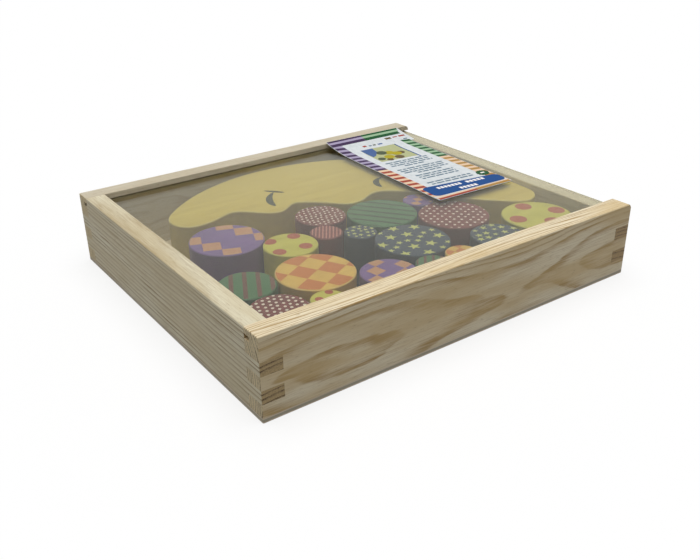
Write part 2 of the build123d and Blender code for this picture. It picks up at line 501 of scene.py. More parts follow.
@dataclass(frozen=True)
class PoplarPlywood:
    """Thin poplar plywood, sawn and left bare: pale faces, and an edge with a greyer middle ply.
    The thickness is in metres, and the core's edge is at these shares of it from the middle."""

    name: str
    thickness: float
    face: str = "#E8DAC5"
    streak: str = "#CEBAA0"
    streak_span: Span = (0.15, 0.4)
    core: str = "#ADA792"
    core_edge: Span = (0.22, 0.28)
    core_strength: float = 0.9
    ior: float = 1.45
    roughness: float = 0.62
    relief: float = 0.08
    relief_strength: float = 0.25
    fibres: Flecks = Flecks(length=40.0, width=1.2, seed=21.0, detail=3.0)
    clouds: Flecks = Flecks(length=60.0, width=30.0, seed=27.0, detail=1.0)

    def material(self) -> bpy.types.Material:
        """Builds the plies one above another, with fibres along X in the faces.

        Returns:
            The material.
        """
        material, tree = new_material(self.name)
        fibre = self.fibres.noise(tree, Grain.ALONG_X)
        cloud = self.clouds.noise(tree, Grain.ALONG_X)
        mixed = add_node(tree, "ShaderNodeMath", {0: fibre, 1: cloud}, operation="MULTIPLY")
        face = blended(tree, mixed, self.streak_span, self.face, self.streak)
        place = add_node(tree, "ShaderNodeTexCoord").node.outputs["Object"]
        height = add_node(tree, "ShaderNodeSeparateXYZ", {0: place}).node.outputs["Z"]
        middle = add_node(
            tree, "ShaderNodeMath", {0: height, 1: self.thickness / 2}, operation="SUBTRACT"
        )
        middle = add_node(tree, "ShaderNodeMath", {0: middle}, operation="ABSOLUTE")
        core_end, face_start = (self.thickness * share for share in self.core_edge)
        in_core = add_node(
            tree,
            "ShaderNodeMapRange",
            {
                "Value": middle,
                "From Min": core_end,
                "From Max": face_start,
                "To Min": self.core_strength,
                "To Max": 0.0,
            },
        )
        colour = add_node(
            tree,
            "ShaderNodeMix",
            {"Factor": in_core, "A": face, "B": linear(self.core)},
            data_type="RGBA",
        )
        flat = add_node(tree, "ShaderNodeNewGeometry").node.outputs["True Normal"]
        bump = add_node(
            tree,
            "ShaderNodeBump",
            {
                "Height": fibre,
                "Normal": flat,
                "Strength": self.relief_strength,
                "Distance": self.relief * MM,
            },
        )
        surface = add_node(
            tree,
            "ShaderNodeBsdfPrincipled",
            {"Base Color": colour, "Roughness": self.roughness, "IOR": self.ior, "Normal": bump},
        )
        add_node(tree, "ShaderNodeOutputMaterial", {"Surface": surface})
        return material


@dataclass(frozen=True)
class SatinEnamel:
    """Water-based enamel, sprayed on a sanded beech block: an even colour with a soft sheen and the
    wood's fibres just felt through it. Its eased edges are painted lighter in patches, as rubbed wear
    and as a painted highlight."""

    name: str
    colour: str
    shade: str
    ior: float = 1.5
    roughness: float = 0.42
    relief: float = 0.06
    relief_strength: float = 0.2
    edge_slope: float = 0.7
    edge_spread: float = 0.2
    # How far the eased edge is paled and brightened: a painted highlight that also stands for rubbed
    # wear.
    wear_and_highlight_saturation: float = 0.75
    wear_and_highlight_brightness: float = 1.35
    film: Flecks = Flecks(length=16.0, width=9.0, seed=31.0, detail=3.0)
    fibres: Flecks = Flecks(length=12.0, width=0.8, seed=37.0, detail=2.0)

    def material(self) -> bpy.types.Material:
        """Builds the paint film and its edges, lightened in patches as painted highlight and rubbed
        wear.

        Returns:
            The material.
        """
        material, tree = new_material(self.name)
        film = self.film.noise(tree, Grain.ALONG_X)
        fibre = self.fibres.noise(tree, Grain.ALONG_X)
        thin = add_node(
            tree, "ShaderNodeMapRange", {"Value": film, "From Min": 0.35, "From Max": 0.7}
        )
        streak = add_node(
            tree,
            "ShaderNodeMapRange",
            {"Value": fibre, "From Min": 0.5, "From Max": 0.75, "To Max": 0.4},
        )
        uneven = add_node(
            tree, "ShaderNodeMath", {0: thin, 1: streak}, operation="ADD", use_clamp=True
        )
        paint = add_node(
            tree,
            "ShaderNodeMix",
            {"Factor": uneven, "A": linear(self.colour), "B": linear(self.shade)},
            data_type="RGBA",
        )
        # Painted highlight, also read as rubbed wear: the eased edge is paled and brightened in
        # patches.
        on_edge = on_eased_edge(tree, self.edge_slope, self.edge_spread)
        wear_and_highlight = add_node(
            tree,
            "ShaderNodeMapRange",
            {"Value": film, "From Min": 0.4, "From Max": 0.6, "To Min": 0.1, "To Max": 0.55},
        )
        wear_and_highlight = add_node(tree, "ShaderNodeMath", {0: on_edge, 1: wear_and_highlight}, operation="MULTIPLY")
        pale = add_node(
            tree,
            "ShaderNodeHueSaturation",
            {
                "Saturation": self.wear_and_highlight_saturation,
                "Value": self.wear_and_highlight_brightness,
                "Color": paint,
            },
        )
        colour = add_node(
            tree, "ShaderNodeMix", {"Factor": wear_and_highlight, "A": paint, "B": pale}, data_type="RGBA"
        )
        bump = add_node(
            tree,
            "ShaderNodeBump",
            {"Height": fibre, "Strength": self.relief_strength, "Distance": self.relief * MM},
        )
        surface = add_node(
            tree,
            "ShaderNodeBsdfPrincipled",
            {"Base Color": colour, "Roughness": self.roughness, "IOR": self.ior, "Normal": bump},
        )
        add_node(tree, "ShaderNodeOutputMaterial", {"Surface": surface})
        return material


@dataclass(frozen=True)
class ScreenInk:
    """Screen-printing ink, squeegeed on and cured: crisp thin islands with a faint mottle where the
    ink lies thinner over the fibres."""

    name: str
    colour: str
    thin: str
    slot: Optional[str] = None
    sheen: float = 0.5
    thin_span: Span = (0.4, 0.8)
    ior: float = 1.5
    roughness: Span = (0.38, 0.55)
    mottle: Flecks = Flecks(length=3.0, width=1.2, seed=41.0, detail=2.0)

    def material(self) -> bpy.types.Material:
        """Builds the ink film.

        Returns:
            The material.
        """
        material, tree = new_material(self.name)
        mottle = self.mottle.noise(tree, Grain.ALONG_X)
        colour = blended(tree, mottle, self.thin_span, self.colour, self.thin)
        smooth, rough = self.roughness
        roughness = add_node(
            tree,
            "ShaderNodeMapRange",
            {"Value": mottle, "From Min": 0.3, "From Max": 0.8, "To Min": smooth, "To Max": rough},
        )
        surface = add_node(
            tree,
            "ShaderNodeBsdfPrincipled",
            {
                "Base Color": colour,
                "Roughness": roughness,
                "IOR": self.ior,
                "Specular IOR Level": self.sheen,
            },
        )
        add_node(tree, "ShaderNodeOutputMaterial", {"Surface": surface})
        return material


@dataclass(frozen=True)
class OffsetInk(ScreenInk):
    """Offset ink, drunk up by the card's coating: far less sheen than the white round it, so that
    its colours stay deep at a low angle."""

    sheen: float = 0.03


@dataclass(frozen=True)
class StainedLimewood:
    """Limewood, wiped with a yellow stain and sealed: the close grain still shows as faint darker
    bands. A paler line painted on the eased edge stands in for the highlight round the outline."""

    name: str
    colour: str = "#DCC766"
    band: str = "#CDB556"
    # The edge colour is a painted highlight, mixed in where the eased edge faces part way up.
    edge: str = "#EADB93"
    band_span: Span = (0.85, 1.3)
    edge_slope: float = 0.6
    edge_spread: float = 0.35
    edge_strength: float = 0.7
    ior: float = 1.5
    roughness: float = 0.45
    relief: float = 0.07
    relief_strength: float = 0.2
    bands: Flecks = Flecks(length=120.0, width=7.0, seed=51.0, detail=3.0)
    fibres: Flecks = Flecks(length=22.0, width=0.9, seed=57.0, detail=2.0)

    def material(self) -> bpy.types.Material:
        """Builds the stain over the grain, with a painted highlight as a pale line on the rounded
        edge.

        Returns:
            The material.
        """
        material, tree = new_material(self.name)
        band = self.bands.noise(tree, Grain.ALONG_X)
        fibre = self.fibres.noise(tree, Grain.ALONG_X)
        both = add_node(tree, "ShaderNodeMath", {0: band, 1: fibre}, operation="ADD")
        stain = blended(tree, both, self.band_span, self.colour, self.band)
        # Painted highlight: the eased edge is mixed towards the paler edge colour.
        on_edge = on_eased_edge(tree, self.edge_slope, self.edge_spread)
        painted_highlight = add_node(
            tree, "ShaderNodeMath", {0: on_edge, 1: self.edge_strength}, operation="MULTIPLY"
        )
        colour = add_node(
            tree,
            "ShaderNodeMix",
            {"Factor": painted_highlight, "A": stain, "B": linear(self.edge)},
            data_type="RGBA",
        )
        bump = add_node(
            tree,
            "ShaderNodeBump",
            {"Height": fibre, "Strength": self.relief_strength, "Distance": self.relief * MM},
        )
        surface = add_node(
            tree,
            "ShaderNodeBsdfPrincipled",
            {"Base Color": colour, "Roughness": self.roughness, "IOR": self.ior, "Normal": bump},
        )
        add_node(tree, "ShaderNodeOutputMaterial", {"Surface": surface})
        return material


@dataclass(frozen=True)
class CoatedBoard:
    """Coated paperboard, offset printed: a bright white face with a light gloss, and a hint of
    greyer fibre clouds under the coating."""

    name: str
    white: str = "#D8DDDF"
    cloud: str = "#CAD0D3"
    cloud_span: Span = (0.4, 0.7)
    ior: float = 1.5
    roughness: Span = (0.3, 0.4)
    fibres: Flecks = Flecks(length=6.0, width=3.0, seed=61.0, detail=3.0)

    def material(self) -> bpy.types.Material:
        """Builds the coated stock.

        Returns:
            The material.
        """
        material, tree = new_material(self.name)
        fibre = self.fibres.noise(tree, Grain.ALONG_Y)
        colour = blended(tree, fibre, self.cloud_span, self.white, self.cloud)
        smooth, rough = self.roughness
        roughness = add_node(
            tree,
            "ShaderNodeMapRange",
            {"Value": fibre, "From Min": 0.3, "From Max": 0.7, "To Min": smooth, "To Max": rough},
        )
        surface = add_node(
            tree,
            "ShaderNodeBsdfPrincipled",
            {"Base Color": colour, "Roughness": roughness, "IOR": self.ior},
        )
        add_node(tree, "ShaderNodeOutputMaterial", {"Surface": surface})
        return material


@dataclass(frozen=True)
class CastAcrylic:
    """Cast acrylic sheet, as it leaves the mould: clear with a faint grey-green body, glossy, and
    mirror-like at low angles, so what lies under it looks veiled."""

    name: str
    ior: float = 1.27
    light_ior: float = 1.4
    tint: str = "#F3F3ED"
    smeared_roughness: float = 0.03
    smears: Flecks = Flecks(length=60.0, width=30.0, seed=71.0, detail=3.0)

    def material(self) -> bpy.types.Material:
        """Builds clear glass-like sheet that lamps shine through without a dark shadow.

        Returns:
            The material.
        """
        material, tree = new_material(self.name)
        roughness = add_node(
            tree,
            "ShaderNodeMapRange",
            {
                "Value": self.smears.noise(tree, Grain.ALONG_X),
                "From Min": 0.5,
                "From Max": 0.8,
                "To Max": self.smeared_roughness,
            },
        )
        sheet = add_node(
            tree,
            "ShaderNodeBsdfGlass",
            {"Color": linear(self.tint), "Roughness": roughness, "IOR": self.ior},
        )
        clear = add_node(tree, "ShaderNodeBsdfTransparent", {"Color": linear(self.tint)})
        mirror = add_node(tree, "ShaderNodeBsdfAnisotropic", {"Roughness": 0.0})
        share = add_node(tree, "ShaderNodeFresnel", {"IOR": self.light_ior})
        clear = add_node(tree, "ShaderNodeMixShader", {0: share, 1: clear, 2: mirror})
        ray = add_node(tree, "ShaderNodeLightPath").node
        lit = add_node(
            tree,
            "ShaderNodeMath",
            {0: ray.outputs["Is Shadow Ray"], 1: ray.outputs["Is Diffuse Ray"]},
            operation="MAXIMUM",
        )
        surface = add_node(tree, "ShaderNodeMixShader", {0: lit, 1: sheet, 2: clear})
        add_node(tree, "ShaderNodeOutputMaterial", {"Surface": surface})
        return material


class Paint(Enum):
    """The blocks' enamels."""

    RED = SatinEnamel("red_enamel", "#782933", "#6B242D")
    GREEN = SatinEnamel("green_enamel", "#3D714B", "#356643")
    YELLOW = SatinEnamel("yellow_enamel", "#D8D362", "#C8C254")
    ORANGE = SatinEnamel("orange_enamel", "#F2CB6E", "#E3BA62")
    PURPLE = SatinEnamel("purple_enamel", "#7F61AB", "#73579C")
    NAVY = SatinEnamel("navy_enamel", "#263858", "#20304B")


class Ink(Enum):
    """The inks printed on the blocks, the rocker and the card."""

    WHITE = ScreenInk("white_ink", "#FFFBF7", "#EDE5E1")
    PALE_RED = ScreenInk("pale_red_ink", "#C98A88", "#BC7A7A")
    PEACH = ScreenInk("peach_ink", "#D19E80", "#C89275", "orange_paint")
    BRICK = ScreenInk("brick_ink", "#B4553F", "#A84C38", "red_paint")
    RUSSET = ScreenInk("russet_ink", "#6A3B36", "#5E3632", "red_paint")
    DARK_GREEN = ScreenInk("dark_green_ink", "#17301F", "#152C1D", "green_paint")
    ORANGE = ScreenInk("orange_ink", "#D6854A", "#CB7B44", "orange_paint")
    STAR_YELLOW = ScreenInk("star_yellow_ink", "#D9DC86", "#C9CC78", "yellow_paint")
    SLATE = ScreenInk("slate_ink", "#363A2C", "#303427", sheen=0.1)
    CARD_PURPLE = OffsetInk("card_purple_ink", "#423150", "#4B395A")
    CARD_LILAC = OffsetInk("card_lilac_ink", "#A99EBB", "#B2A8C2")
    CARD_GREEN = OffsetInk("card_green_ink", "#20532F", "#295C38")
    CARD_MINT = OffsetInk("card_mint_ink", "#9ABB97", "#A2C19F")
    CARD_RED = OffsetInk("card_red_ink", "#A04535", "#A95040")
    CARD_CREAM = OffsetInk("card_cream_ink", "#E6C8A8", "#EAD0B4")
    CARD_OCHRE = OffsetInk("card_ochre_ink", "#AE8546", "#B58E52")
    CARD_BLUE = OffsetInk("card_blue_ink", "#1C4A88", "#245290")
    CARD_OLIVE = OffsetInk("card_olive_ink", "#B9BD90", "#AFB384")
    CARD_SKY = OffsetInk("card_sky_ink", "#4A6496", "#556F9F")
    CARD_MOSS = OffsetInk("card_moss_ink", "#4E5743", "#57604B")
    CARD_LEMON = OffsetInk("card_lemon_ink", "#B5A62A", "#A89A28")
    CARD_UMBER = OffsetInk("card_umber_ink", "#655538", "#6E5E41")
    CARD_TEXT = OffsetInk("card_text_ink", "#607888", "#6B8392")


MADE: dict[str, bpy.types.Material] = {}


def material_of(finish: Finish) -> bpy.types.Material:
    """Builds a finish once and returns the same material afterwards.

    Args:
        finish: The finish.

    Returns:
        The finish's material.
    """
    if finish.name not in MADE:
        MADE[finish.name] = finish.material()
    return MADE[finish.name]


def dress(node: str, finish: Finish) -> bpy.types.Object:
    """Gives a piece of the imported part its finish.

    Args:
        node: The piece's name.
        finish: The finish to give it.

    Returns:
        The piece.
    """
    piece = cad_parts[node]
    piece.data.materials.clear()
    piece.data.materials.append(material_of(finish))
    flat = piece.modifiers.new("flat_faces", "WEIGHTED_NORMAL")
    flat.keep_sharp = True
    flat.weight = FACE_WEIGHT
    return piece


def kept_below(outline: Polygon, way: Point, reach: float) -> Polygon:
    """Cuts an outline off along a straight line.

    Args:
        outline: The outline's points.
        way: A step of length 1 towards the side that is cut off.
        reach: How far along that way the outline is kept.

    Returns:
        What is left of the outline, or an empty list.
    """
    kept: Polygon = []
    for i, (x, y) in enumerate(outline):
        last_x, last_y = outline[i - 1]
        depth = reach - (x * way[0] + y * way[1])
        last_depth = reach - (last_x * way[0] + last_y * way[1])
        if (depth >= 0) != (last_depth >= 0):
            share = last_depth / (last_depth - depth)
            kept.append((last_x + share * (x - last_x), last_y + share * (y - last_y)))
        if depth >= 0:
            kept.append((x, y))
    return kept if len(kept) > 2 else []


def clipped(outline: Polygon, radius: float, sides: int = 72) -> Polygon:
    """Cuts an outline to a round face.

    Args:
        outline: The outline's points, from the face's middle.
        radius: The face's radius.
        sides: How many straight sides stand for the circle.

    Returns:
        What is left of the outline, or an empty list.
    """
    if all(math.hypot(x, y) <= radius for x, y in outline):
        return outline
    reach = radius * math.cos(math.pi / sides)
    for side in range(sides):
        angle = 2 * math.pi * side / sides
        outline = kept_below(outline, (math.cos(angle), math.sin(angle)), reach)
    return outline


def sliced(outline: Polygon, step: float) -> list[Polygon]:
    """Cuts an outline into strips along Y, so that it can follow a bend.

    Args:
        outline: The outline's points.
        step: The strips' greatest length.

    Returns:
        The strips.
    """
    low, high = min(y for _, y in outline), max(y for _, y in outline)
    count = math.ceil((high - low) / step)
    strips = []
    for i in range(count):
        strip = kept_below(outline, (0.0, 1.0), low + (high - low) * (i + 1) / count)
        strip = kept_below(strip, (0.0, -1.0), -(low + (high - low) * i / count))
        if strip:
            strips.append(strip)
    return strips


def placed(outline: Polygon, middle: Point, turn: float = 0.0) -> Polygon:
    """Turns an outline about its own middle and moves it.

    Args:
        outline: The outline's points.
        middle: Where its middle goes.
        turn: Its turn in degrees, anticlockwise.

    Returns:
        The moved outline.
    """
    c, s = math.cos(math.radians(turn)), math.sin(math.radians(turn))
    return [(middle[0] + x * c - y * s, middle[1] + x * s + y * c) for x, y in outline]


def oblong(length: float, width: float) -> Polygon:
    """A rectangle about its middle, its length along X."""
    return [
        (-length / 2, -width / 2),
        (length / 2, -width / 2),
        (length / 2, width / 2),
        (-length / 2, width / 2),
    ]


def round_dot(radius: float, sides: int = 28) -> Polygon:
    """A circle about its middle."""
    angles = [2 * math.pi * side / sides for side in range(sides)]
    return [(radius * math.cos(angle), radius * math.sin(angle)) for angle in angles]


def star(radius: float, points: int = STAR_POINTS, waist: float = 0.42) -> Polygon:
    """A plain star about its middle, its notches at a share of its radius."""
    reaches = [radius, radius * waist] * points
    return [
        (reach * math.cos(math.pi * i / points), reach * math.sin(math.pi * i / points))
        for i, reach in enumerate(reaches)
    ]


def with_round_corners(corners: Polygon, radius: float, steps: int = 6) -> Polygon:
    """Rounds the corners of an outline that bulges everywhere.

    Args:
        corners: The outline's corners, anticlockwise.
        radius: The radius of every corner.
        steps: How many straight sides each corner has.

    Returns:
        The rounded outline.
    """
    outline: Polygon = []
    for i, (x, y) in enumerate(corners):
        last_x, last_y = corners[i - 1]
        next_x, next_y = corners[(i + 1) % len(corners)]
        start = math.atan2(y - last_y, x - last_x) - math.pi / 2
        turn = (math.atan2(next_y - y, next_x - x) - math.pi / 2 - start) % (2 * math.pi)
        inward = start + turn / 2 + math.pi
        reach = radius / math.cos(turn / 2)
        middle_x, middle_y = x + reach * math.cos(inward), y + reach * math.sin(inward)
        for step in range(steps + 1):
            angle = start + turn * step / steps
            x_out, y_out = radius * math.cos(angle), radius * math.sin(angle)
            outline.append((middle_x + x_out, middle_y + y_out))
    return outline


def stroke(
    length: float, width: float, bow: float, lag: float = 1.0, blunt: float = 0.5, steps: int = 20
) -> Polygon:
    """A brush stroke that stands along Y, bows towards -X and tapers at both ends.

    Args:
        length: From end to end.
        width: Its greatest width.
        bow: How far its middle stands back from the line between its ends.
        lag: 1 puts the greatest width halfway down; more puts it lower.
        blunt: How slender its ends are: 1 for a thorn, 0.3 for a finger.
        steps: How many straight sides each edge has.

    Returns:
        The outline.
    """
    shares = [step / steps for step in range(steps + 1)]
    halves = [width / 2 * max(0.0, math.sin(math.pi * t**lag)) ** blunt for t in shares]
    spine = [(-4 * bow * t * (1 - t), length * (0.5 - t)) for t in shares]
    left = [(x - half, y) for (x, y), half in zip(spine, halves)]
    right = [(x + half, y) for (x, y), half in zip(spine, halves)]
    return left + right[-2:0:-1]


def scatter(radius: float, pitch: float, jitter: float, seed: int) -> list[Point]:
    """Places spread over a round face, in staggered rows that are shaken a little.

    Args:
        radius: How far out the places go.
        pitch: Their distance from each other.
        jitter: How far each is shaken, as a share of the pitch.
        seed: Seed of the shaking.

    Returns:
        The places.
    """
    draw = random.Random(seed)
    rise = pitch * math.sqrt(3) / 2
    count = math.ceil(radius / rise) + 1
    places = []
    for row in range(-count, count + 1):
        for column in range(-count, count + 1):
            x = pitch * (column + (row % 2) / 2) + pitch * jitter * draw.uniform(-1, 1)
            y = rise * row + pitch * jitter * draw.uniform(-1, 1)
            if math.hypot(x, y) < radius:
                places.append((x, y))
    return places


class Motif(Protocol):
    """A pattern that a round face is printed with."""

    def outlines(self, radius: float) -> list[Polygon]:
        """The pattern's outlines on a face of that radius, from the face's middle."""


@dataclass(frozen=True)
class SpotsAt:
    """Round spots at chosen places."""

    places: tuple[Point, ...]
    size: float

    def outlines(self, radius: float) -> list[Polygon]:
        """One circle at each place."""
        return [placed(round_dot(self.size), place) for place in self.places]


@dataclass(frozen=True)
class FineDots:
    """Small dots all over, in shaken rows."""

    pitch: float
    size: float
    jitter: float
    seed: int
    turn: float = 0.0
    sides: int = 14

    def outlines(self, radius: float) -> list[Polygon]:
        """One small circle at each place.

        Args:
            radius: The radius of the face.

        Returns:
            The circles.
        """
        dot = round_dot(self.size, self.sides)
        places = scatter(radius + self.size, self.pitch, self.jitter, self.seed)
        return [placed(placed(dot, place), (0, 0), self.turn) for place in places]


@dataclass(frozen=True)
class StarsAt:
    """Large and small stars at chosen places, each with a turn of its own."""

    large: tuple[Point, ...]
    small: tuple[Point, ...]
    large_size: float
    small_size: float
    seed: int

    def outlines(self, radius: float) -> list[Polygon]:
        """One star at each place.

        Args:
            radius: The radius of the face.

        Returns:
            The stars.
        """
        draw = random.Random(self.seed)
        sized = [(place, self.large_size) for place in self.large]
        sized += [(place, self.small_size) for place in self.small]
        return [placed(star(size), place, draw.uniform(0, STAR_TURN)) for place, size in sized]


@dataclass(frozen=True)
class FineStars:
    """Stars all over, in shaken rows, every third one smaller."""

    pitch: float
    size: float
    seed: int
    jitter: float = 0.16
    small_share: float = 0.7

    def outlines(self, radius: float) -> list[Polygon]:
        """One star at each place.

        Args:
            radius: The radius of the face.

        Returns:
            The stars.
        """
        draw = random.Random(self.seed)
        places = scatter(radius + self.size, self.pitch, self.jitter, self.seed)
        sizes = (self.size * self.small_share, self.size, self.size)
        return [
            placed(star(sizes[i % len(sizes)]), place, draw.uniform(0, STAR_TURN))
            for i, place in enumerate(places)
        ]


@dataclass(frozen=True)
class Stripes:
    """Parallel stripes."""

    pitch: float
    width: float
    turn: float
    shift: float = 0.0

    def outlines(self, radius: float) -> list[Polygon]:
        """One long bar for each stripe.

        Args:
            radius: The radius of the face.

        Returns:
            The bars.
        """
        count = math.ceil(radius / self.pitch) + 1
        bars = [self.shift + self.pitch * i for i in range(-count, count + 1)]
        return [
            placed([(x, y + bar) for x, y in oblong(3 * radius, self.width)], (0, 0), self.turn)
            for bar in bars
            if abs(bar) < radius + self.width
        ]


@dataclass(frozen=True)
class Checks:
    """A two-colour check: every second square."""

    cell: float
    turn: float
    start: Point

    def outlines(self, radius: float) -> list[Polygon]:
        """The squares of the second colour, the first of them at the start.

        Args:
            radius: The radius of the face.

        Returns:
            The squares.
        """
        count = math.ceil(2 * radius / self.cell)
        rows = range(-count, count + 1)
        squares = [(c * self.cell, r * self.cell) for r in rows for c in rows if (r + c) % 2 == 0]
        middles = placed(squares, self.start, self.turn)
        return [
            placed(oblong(self.cell, self.cell), middle, self.turn)
            for middle in middles
            if math.hypot(*middle) < radius + self.cell
        ]


@dataclass(frozen=True)
class DiamondChains:
    """Rows of squares that touch corner to corner, with a wide gap between rows."""

    square: float
    between: float
    stagger: float
    turn: float
    start: Point

    def outlines(self, radius: float) -> list[Polygon]:
        """The squares, the first of them at the start.

        Args:
            radius: The radius of the face.

        Returns:
            The squares.
        """
        step = self.square * math.sqrt(2)
        count = math.ceil(2 * radius / step)
        rows = range(-count, count + 1)
        diamonds = [(i * step + j * self.stagger, j * self.between) for i in rows for j in rows]
        middles = placed(diamonds, self.start, self.turn)
        return [
            placed(oblong(self.square, self.square), middle, self.turn + 45)
            for middle in middles
            if math.hypot(*middle) < radius + step
        ]


class Face(Protocol):
    """A face of the part that ink goes on."""

    def point(self, x: float, y: float, height: float) -> Vector:
        """The place, in metres, of a point on the face that is given in millimetres."""


class PrintedLayer:
    """A mesh of thin closed islands of ink. Each coat stands proud of the last, and each island
    starts a little under the face that it is on, in millimetres."""

    proud: float = 0.05
    sunk: float = 0.05

    def __init__(self, name: str) -> None:
        """Starts an empty layer.

        Args:
            name: The piece's name.
        """
        self.name = name
        self.mesh = bmesh.new()
        self.inks: list[Ink] = []

    def add(self, outline: Polygon, ink: Ink, face: Face, coat: int = 1) -> None:
        """Adds one island.

        Args:
            outline: Its outline in millimetres, anticlockwise.
            ink: Its ink.
            face: The face that it is on.
            coat: 1 on the bare face, 2 over one other ink, and so on.
        """
        if ink not in self.inks:
            self.inks.append(ink)
        low = [self.mesh.verts.new(face.point(x, y, -self.sunk)) for x, y in outline]
        high = [self.mesh.verts.new(face.point(x, y, self.proud * coat)) for x, y in outline]
        faces = [self.mesh.faces.new(high), self.mesh.faces.new(low[::-1])]
        for i in range(len(outline)):
            faces.append(self.mesh.faces.new((low[i - 1], low[i], high[i], high[i - 1])))
        for made in faces:
            made.material_index = self.inks.index(ink)

    def finish(self, body: str) -> bpy.types.Object:
        """Makes the layer a piece that rides on a body.

        Args:
            body: The body's name.

        Returns:
            The piece.
        """
        bmesh.ops.recalc_face_normals(self.mesh, faces=self.mesh.faces)
        data = bpy.data.meshes.new(self.name)
        self.mesh.to_mesh(data)
        self.mesh.free()
        for ink in self.inks:
            data.materials.append(material_of(ink.value))
        piece = bpy.data.objects.new(self.name, data)
        bpy.context.scene.collection.objects.link(piece)
        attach(piece, body)
        return piece


@dataclass(frozen=True)
class FlatFace:
    """A level face, seen from above or, when it looks down, from below."""

    middle: Vector
    looks_down: bool

    def point(self, x: float, y: float, height: float) -> Vector:
        """The place, in metres, of a point on the face that is given in millimetres."""
        side = -1 if self.looks_down else 1
        return self.middle + MM * Vector((x, side * y, side * height))


def both_faces(node: str) -> tuple[FlatFace, FlatFace]:
    """The upper and the lower face of an upright round or flat piece.

    Args:
        node: The piece's name.

    Returns:
        The two faces, each from the middle of the piece's box.
    """
    low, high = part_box(node)
    middle = (low + high) / 2
    upper = FlatFace(Vector((middle.x, middle.y, high.z)), False)
    lower = FlatFace(Vector((middle.x, middle.y, low.z)), True)
    return upper, lower


class BentFace:
    """The upper face of a bent card, found from the card's own mesh: X goes across the card from
    the middle of its body, and Y along it from its front edge to its back edge. The card lies at
    the turn, in degrees, at which the box round its plan is smallest."""

    most_turn: float = 10.0
    turn_step: float = 0.05
    well_above: float = 1.0

    def __init__(self, node: str, body_width: float) -> None:
        """Measures the card.

        Args:
            node: The card's name.
            body_width: The width of its body, which starts at its left edge, in millimetres.
        """
        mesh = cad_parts[node].data
        self.surface = BVHTree.FromPolygons(
            [vertex.co for vertex in mesh.vertices], [polygon.vertices for polygon in mesh.polygons]
        )
        plan = np.array([vertex.co[:2] for vertex in mesh.vertices], float)
        turns = np.radians(np.arange(-self.most_turn, self.most_turn, self.turn_step))
        across = plan @ np.array((np.cos(turns), np.sin(turns)))
        along = plan @ np.array((-np.sin(turns), np.cos(turns)))
        tightest = int(np.argmin(np.ptp(across, 0) * np.ptp(along, 0)))
        turn = float(turns[tightest])
        self.across = Vector((math.cos(turn), math.sin(turn), 0.0))
        self.along = Vector((-math.sin(turn), math.cos(turn), 0.0))
        self.length = float(np.ptp(along[:, tightest])) / MM
        middle = float(across[:, tightest].min()) + MM * body_width / 2
        self.start = self.across * middle + self.along * float(along[:, tightest].min())

    def point(self, x: float, y: float, height: float) -> Vector:
        """Finds a point on the card.

        Args:
            x: Its place across the card, in millimetres.
            y: Its place along the card.
            height: Its height above the face.

        Returns:
            Its place, in metres.
        """
        plan = self.start + MM * (x * self.across + y * self.along)
        above = Vector((plan.x, plan.y, self.well_above))
        hit = self.surface.ray_cast(above, Vector((0.0, 0.0, -1.0)))[0]
        if hit is None:
            hit = self.surface.find_nearest(Vector((plan.x, plan.y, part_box("label_card")[1].z)))[0]
        return Vector((plan.x, plan.y, hit.z + MM * height))


@dataclass(frozen=True)
class Block:
    """One round block: its enamel, its motif, the motif's ink and the millimetres of rim that are
    left bare round the motif."""

    name: str
    paint: Paint
    motif: Motif
    ink: Ink
    bare_rim: float = 0.7

    def build(self) -> list[bpy.types.Object]:
        """Dresses the block and prints its motif on both faces.

        Returns:
            The block and its print.
        """
        node = f"disc_{self.name}"
        low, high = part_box(node)
        radius = (high.x - low.x) / 2 / MM - self.bare_rim
        outlines = [clipped(outline, radius) for outline in self.motif.outlines(radius)]
        layer = PrintedLayer(f"print_{self.name}")
        for face in both_faces(node):
            for outline in outlines:
                if outline:
                    layer.add(outline, self.ink, face)
        printed = layer.finish(f"block_{self.name}")
        return [dress(node, self.paint.value), printed]


